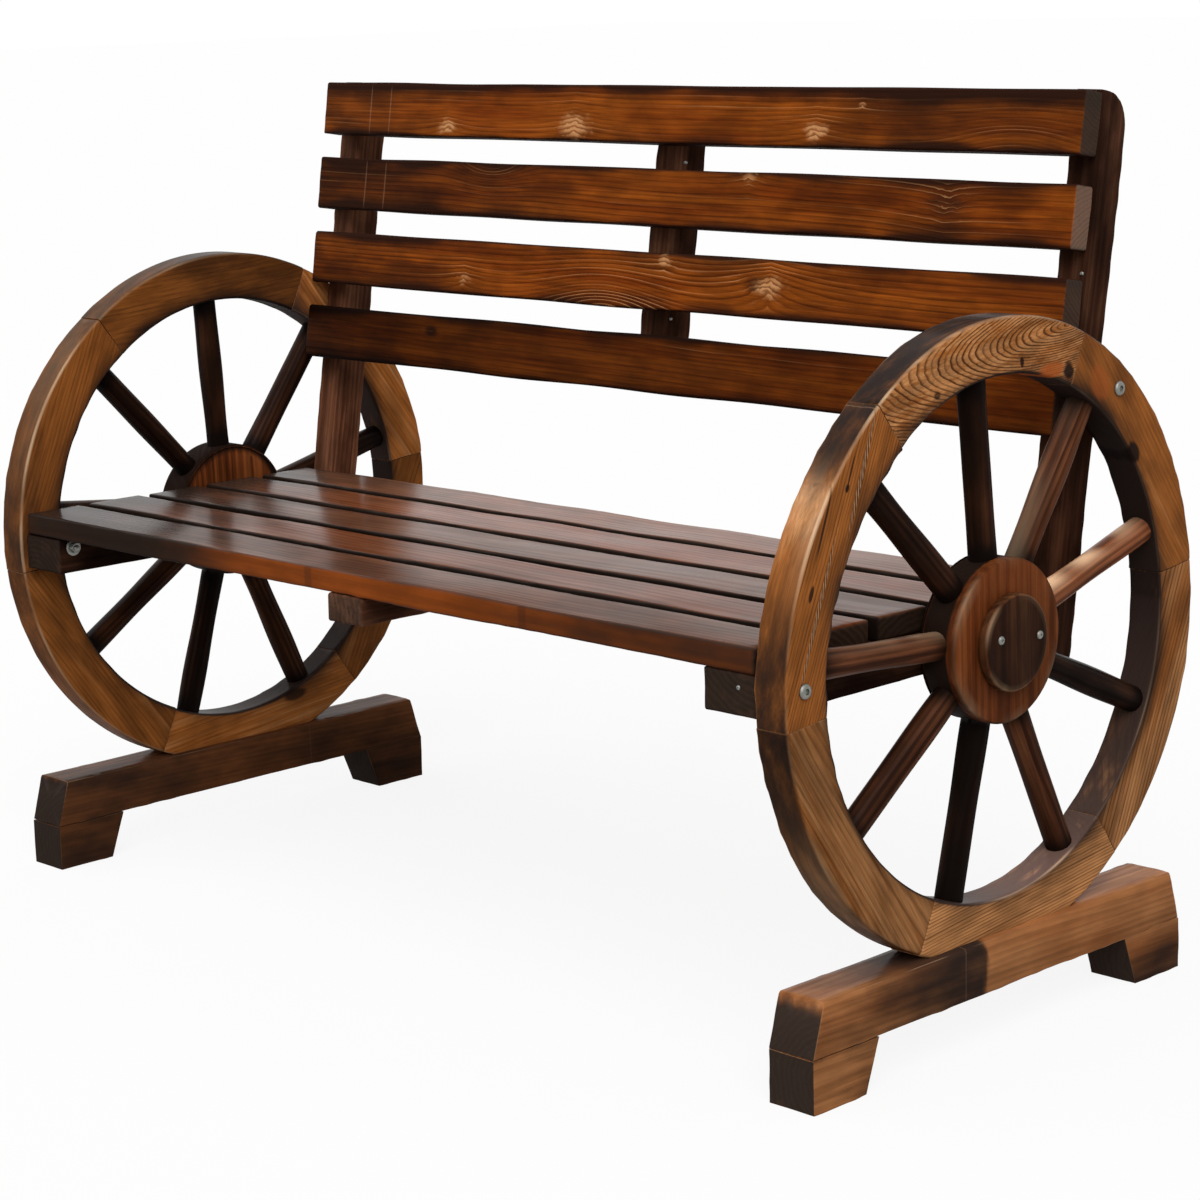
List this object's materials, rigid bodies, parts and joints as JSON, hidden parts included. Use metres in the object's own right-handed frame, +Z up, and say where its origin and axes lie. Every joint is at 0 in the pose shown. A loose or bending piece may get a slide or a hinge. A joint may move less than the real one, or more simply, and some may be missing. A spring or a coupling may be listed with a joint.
{
  "type": "wagon wheel bench",
  "caption": "Slatted wooden garden bench with a leaning slatted back, carried at each end by a fixed wagon wheel let into a runner foot.",
  "frame": {"origin": "on the floor, midway between the wheels and straight below their centres", "axes": "+X along the seat, -Y towards the front, +Z up"},
  "size_m": [1.1496, 0.564, 0.823],
  "materials": {
    "rim_wood": "scorched fir, orange-brown, satin varnish",
    "spoke_wood": "scorched fir, dark brown, satin varnish",
    "hub_wood": "scorched fir, red-brown, satin varnish",
    "cap_wood": "scorched fir, dark brown, satin varnish",
    "foot_wood": "scorched fir, brown, satin varnish",
    "seat_wood": "scorched fir, dark brown, semi-gloss varnish",
    "back_wood": "scorched fir, red-brown, semi-gloss varnish",
    "frame_wood": "scorched fir, very dark brown, satin varnish",
    "fastener_steel": "zinc plated"
  },
  "bodies": {
    "root": {"foot_runner_left": "foot_wood", "foot_block_front_left": "foot_wood", "foot_block_rear_left": "foot_wood", "felloe_left_1": "rim_wood", "felloe_left_2": "rim_wood", "felloe_left_3": "rim_wood", "felloe_left_4": "rim_wood", "felloe_left_5": "rim_wood", "felloe_left_6": "rim_wood", "spoke_left_1": "spoke_wood", "spoke_left_2": "spoke_wood", "spoke_left_3": "spoke_wood", "spoke_left_4": "spoke_wood", "spoke_left_5": "spoke_wood", "spoke_left_6": "spoke_wood", "spoke_left_7": "spoke_wood", "spoke_left_8": "spoke_wood", "spoke_left_9": "spoke_wood", "hub_left": "hub_wood", "hub_cap_left": "cap_wood", "seat_beam_left": "frame_wood", "back_post_left": "frame_wood", "beam_bolt_left": "fastener_steel", "post_bolt_left": "fastener_steel", "foot_runner_right": "foot_wood", "foot_block_front_right": "foot_wood", "foot_block_rear_right": "foot_wood", "felloe_right_1": "rim_wood", "felloe_right_2": "rim_wood", "felloe_right_3": "rim_wood", "felloe_right_4": "rim_wood", "felloe_right_5": "rim_wood", "felloe_right_6": "rim_wood", "spoke_right_1": "spoke_wood", "spoke_right_2": "spoke_wood", "spoke_right_3": "spoke_wood", "spoke_right_4": "spoke_wood", "spoke_right_5": "spoke_wood", "spoke_right_6": "spoke_wood", "spoke_right_7": "spoke_wood", "spoke_right_8": "spoke_wood", "spoke_right_9": "spoke_wood", "hub_right": "hub_wood", "hub_cap_right": "cap_wood", "seat_beam_right": "frame_wood", "back_post_right": "frame_wood", "beam_bolt_right": "fastener_steel", "post_bolt_right": "fastener_steel", "seat_slat_1": "seat_wood", "seat_slat_2": "seat_wood", "seat_slat_3": "seat_wood", "seat_slat_4": "seat_wood", "seat_slat_5": "seat_wood", "back_slat_1": "back_wood", "back_slat_2": "back_wood", "back_slat_3": "back_wood", "back_slat_4": "back_wood", "seat_batten": "frame_wood", "back_post_middle": "frame_wood"}
  },
  "joints": []
}
